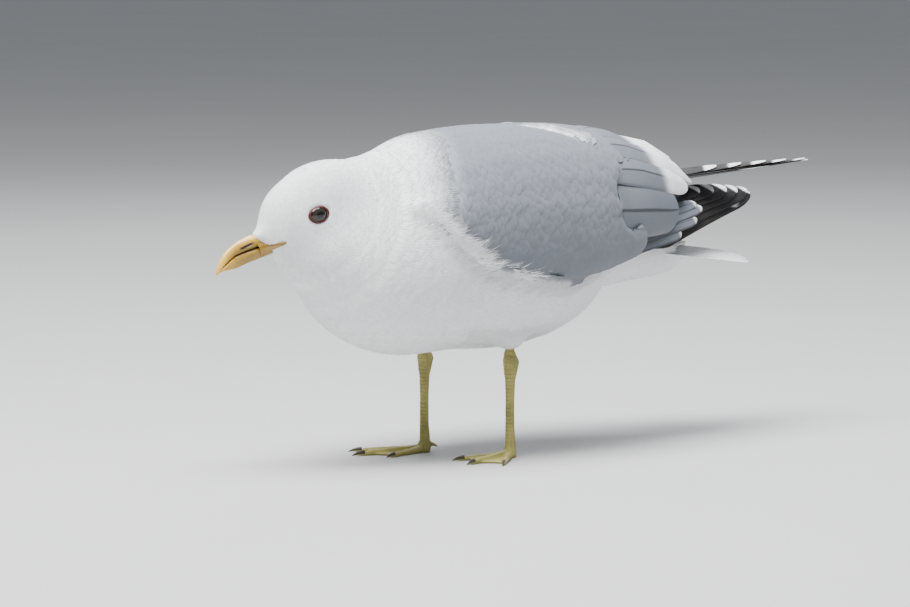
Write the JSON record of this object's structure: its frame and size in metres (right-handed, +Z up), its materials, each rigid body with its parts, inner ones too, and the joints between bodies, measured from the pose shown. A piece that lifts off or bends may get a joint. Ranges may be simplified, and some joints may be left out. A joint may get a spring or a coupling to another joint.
{
  "type": "common gull",
  "caption": "Life-size standing model of a common gull in summer plumage, neck drawn in, wings folded with crossed tips.",
  "frame": {"origin": "on the floor under the middle of the gull's footprint from bill tip to wing tip", "axes": "+Z up; the gull faces -X and its left side is at -Y"},
  "size_m": [0.4518, 0.1348, 0.2008],
  "materials": {
    "white_body": "matte",
    "white_feathers": "matte",
    "grey_feathers": "matte",
    "black_feathers": "matte",
    "bill": "satin",
    "eye": "gloss",
    "eye_ring": "satin",
    "leg_skin": "satin"
  },
  "bodies": {
    "root": {"head": "white_body", "neck": "white_body", "trunk": "white_body", "rump": "white_feathers", "thigh_left": "white_feathers", "thigh_right": "white_feathers", "bill_upper": "bill", "bill_lower": "bill", "eye_left": "eye", "eye_right": "eye", "eye_ring_left": "eye_ring", "eye_ring_right": "eye_ring", "tarsus_left": "leg_skin", "tarsus_right": "leg_skin", "foot_left": "leg_skin", "foot_right": "leg_skin", "wing_coverts_left": "grey_feathers", "wing_coverts_right": "grey_feathers", "scapulars_left": "grey_feathers", "scapulars_right": "grey_feathers", "secondaries_left": "grey_feathers", "secondaries_right": "grey_feathers", "tertial_left_1": "grey_feathers", "tertial_left_2": "grey_feathers", "tertial_left_3": "grey_feathers", "tertial_left_4": "grey_feathers", "tertial_right_1": "grey_feathers", "tertial_right_2": "grey_feathers", "tertial_right_3": "grey_feathers", "tertial_right_4": "grey_feathers", "primary_left_10": "black_feathers", "primary_left_9": "black_feathers", "primary_left_8": "black_feathers", "primary_left_7": "black_feathers", "primary_left_6": "black_feathers", "primary_left_5": "black_feathers", "primary_right_10": "black_feathers", "primary_right_9": "black_feathers", "primary_right_8": "black_feathers", "primary_right_7": "black_feathers", "primary_right_6": "black_feathers", "primary_right_5": "black_feathers", "tail_feather_left_1": "white_feathers", "tail_feather_left_2": "white_feathers", "tail_feather_left_3": "white_feathers", "tail_feather_left_4": "white_feathers", "tail_feather_left_5": "white_feathers", "tail_feather_left_6": "white_feathers", "tail_feather_right_1": "white_feathers", "tail_feather_right_2": "white_feathers", "tail_feather_right_3": "white_feathers", "tail_feather_right_4": "white_feathers", "tail_feather_right_5": "white_feathers", "tail_feather_right_6": "white_feathers"}
  },
  "joints": []
}
